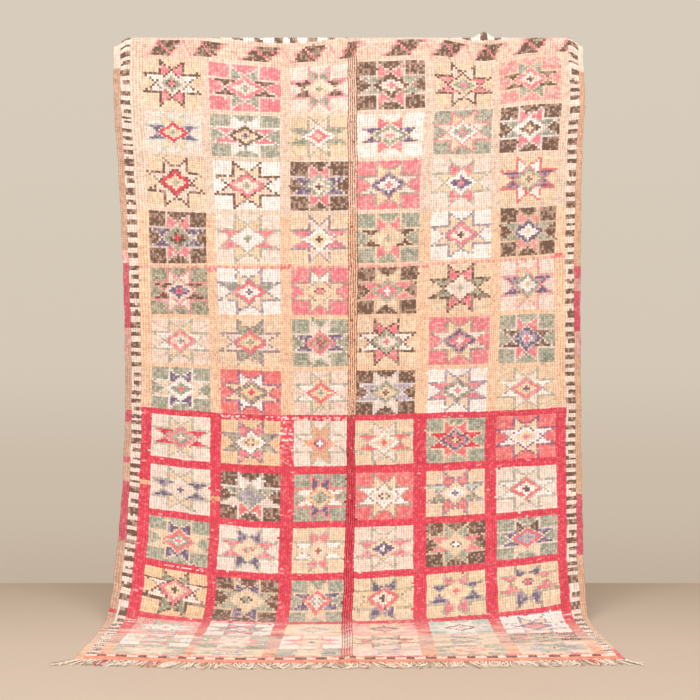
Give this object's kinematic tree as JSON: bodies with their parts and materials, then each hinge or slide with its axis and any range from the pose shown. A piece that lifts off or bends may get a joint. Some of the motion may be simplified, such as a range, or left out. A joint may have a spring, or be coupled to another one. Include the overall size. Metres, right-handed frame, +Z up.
{
  "type": "boujad rug",
  "caption": "Knotted wool rug hung over a support by its turned-back end and swept forward on to the floor, with a fringed front end.",
  "frame": {"origin": "middle of the underside of the top fold, on the line that the support bears on", "axes": "+Z up, -Y out of the pile towards the viewer and along the floor stretch, +X to the viewer's right"},
  "size_m": [1.7936, 1.2221, 2.154],
  "materials": {
    "pile_wool": "low worn wool pile",
    "warp_yarn": "matt twisted yarn"
  },
  "bodies": {
    "root": {"rug": "pile_wool", "fringe_front": "warp_yarn"}
  },
  "joints": []
}
